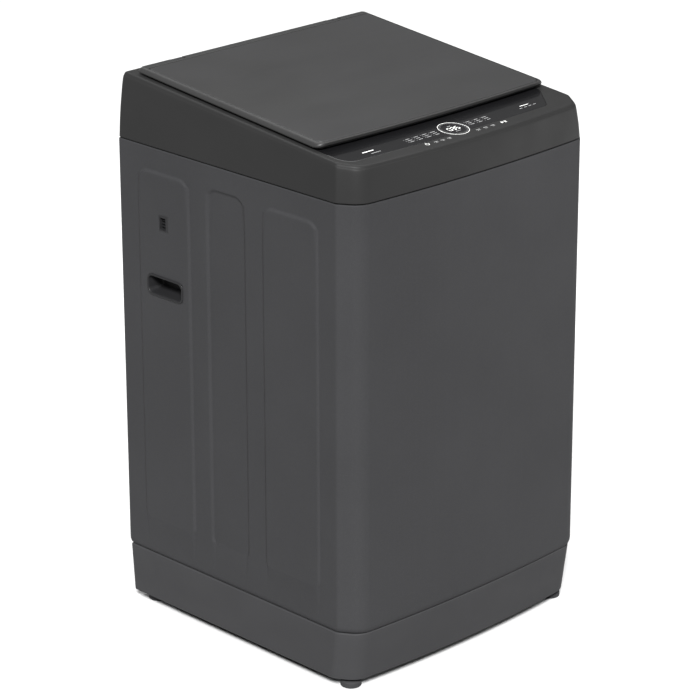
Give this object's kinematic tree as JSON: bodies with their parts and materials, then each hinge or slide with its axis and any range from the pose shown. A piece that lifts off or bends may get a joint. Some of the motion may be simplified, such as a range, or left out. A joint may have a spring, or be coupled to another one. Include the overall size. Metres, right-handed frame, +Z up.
{
  "type": "top load washing machine",
  "caption": "Free-standing top load washing machine: ribbed steel cabinet on a moulded base, sloped cover with touch control glass, hinged lid, suspended tub, drum and pulsator.",
  "frame": {"origin": "centre of the footprint on the floor, under the levelling feet", "axes": "+Z up, the front with the controls faces -Y, +X to the right seen from the front"},
  "size_m": [0.5996, 0.59, 1.0131],
  "materials": {
    "cabinet_paint": "semi-gloss dark grey coat",
    "panel_steel": "galvanised sheet",
    "black_plastic": "satin",
    "rubber": "matte",
    "base_plastic": "satin",
    "zinc_steel": "zinc plated",
    "cover_plastic": "semi-gloss",
    "control_glass": "gloss",
    "board_case": "matte",
    "valve_plastic": "satin",
    "handle_plastic": "satin",
    "lid_plastic": "semi-gloss",
    "lid_glass": "dark tinted, printed from behind",
    "tub_plastic": "matte",
    "ring_plastic": "satin",
    "cast_alloy": "cast",
    "stator_core": "wound core, overall density near that of aluminium",
    "drum_steel": "brushed stainless",
    "filter_plastic": "satin",
    "pulsator_plastic": "satin",
    "drawer_plastic": "satin"
  },
  "bodies": {
    "cabinet_body": {"cabinet": "cabinet_paint", "rear_panel": "panel_steel", "drain_outlet": "black_plastic", "cord_gland": "rubber", "base_skirt": "base_plastic", "base_bracket_front_left": "zinc_steel", "base_bracket_front_right": "zinc_steel", "base_bracket_rear_left": "zinc_steel", "base_bracket_rear_right": "zinc_steel", "top_cover": "cover_plastic", "control_glass": "control_glass", "control_board_case": "board_case", "dispenser_housing": "valve_plastic", "inlet_valve_cold": "valve_plastic", "inlet_valve_hot": "valve_plastic", "hinge_left": "black_plastic", "hinge_right": "black_plastic", "side_handle_left": "handle_plastic", "side_handle_right": "handle_plastic", "side_vent_left": "black_plastic", "side_vent_right": "black_plastic", "hanger_brace_front_left": "zinc_steel", "hanger_brace_front_right": "zinc_steel", "hanger_brace_rear_left": "zinc_steel", "hanger_brace_rear_right": "zinc_steel", "suspension_rod_front_left": "zinc_steel", "suspension_rod_front_right": "zinc_steel", "suspension_rod_rear_left": "zinc_steel", "suspension_rod_rear_right": "zinc_steel"},
    "lid": {"lid_frame": "lid_plastic", "lid_panel": "lid_glass", "lid_bumper_left": "rubber", "lid_bumper_right": "rubber"},
    "tub": {"outer_tub": "tub_plastic", "tub_ring": "ring_plastic", "bearing_housing": "cast_alloy", "motor_stator": "stator_core", "drain_pump": "black_plastic", "suspension_cup_front_left": "black_plastic", "suspension_cup_front_right": "black_plastic", "suspension_cup_rear_left": "black_plastic", "suspension_cup_rear_right": "black_plastic"},
    "drum_body": {"drum": "drum_steel", "balance_ring": "ring_plastic", "drum_hub": "cast_alloy", "spin_tube": "zinc_steel", "lint_filter_left": "filter_plastic", "lint_filter_right": "filter_plastic"},
    "agitator": {"pulsator": "pulsator_plastic", "pulsator_cap": "drum_steel", "drive_shaft": "zinc_steel", "motor_rotor": "zinc_steel"},
    "drawer": {"detergent_drawer": "drawer_plastic"},
    "foot_front_left_body": {"foot_front_left": "black_plastic"},
    "foot_front_right_body": {"foot_front_right": "black_plastic"},
    "foot_rear_left_body": {"foot_rear_left": "black_plastic"},
    "foot_rear_right_body": {"foot_rear_right": "black_plastic"}
  },
  "joints": [
    {"name": "lid_hinge", "type": "hinge", "parent": "cabinet_body", "child": "lid", "pos_m": [0, 0.2535, 1.00785], "axis": [-1, 0, 0], "range_deg": [0, 100]},
    {"name": "tub_travel", "type": "slide", "parent": "cabinet_body", "child": "tub", "axis": [0, 0, 1], "range_m": [-0.015, 0.01], "stiffness_N_per_m": 24000, "springref_m": 0.0143},
    {"name": "drum_spin", "type": "hinge", "parent": "tub", "child": "drum_body", "pos_m": [0, 0, 0.5], "axis": [0, 0, 1], "continuous": true},
    {"name": "pulsator_spin", "type": "hinge", "parent": "tub", "child": "agitator", "pos_m": [0, 0, 0.26], "axis": [0, 0, 1], "continuous": true},
    {"name": "drawer_slide", "type": "slide", "parent": "cabinet_body", "child": "drawer", "axis": [0, -1, 0], "range_m": [0, 0.06]},
    {"name": "foot_turn_front_left", "type": "hinge", "parent": "cabinet_body", "child": "foot_front_left_body", "pos_m": [-0.258, -0.243, 0.02], "axis": [0, 0, 1], "continuous": true},
    {"name": "foot_turn_front_right", "type": "hinge", "parent": "cabinet_body", "child": "foot_front_right_body", "pos_m": [0.258, -0.243, 0.02], "axis": [0, 0, 1], "continuous": true},
    {"name": "foot_turn_rear_left", "type": "hinge", "parent": "cabinet_body", "child": "foot_rear_left_body", "pos_m": [-0.258, 0.259, 0.02], "axis": [0, 0, 1], "continuous": true},
    {"name": "foot_turn_rear_right", "type": "hinge", "parent": "cabinet_body", "child": "foot_rear_right_body", "pos_m": [0.258, 0.259, 0.02], "axis": [0, 0, 1], "continuous": true}
  ]
}
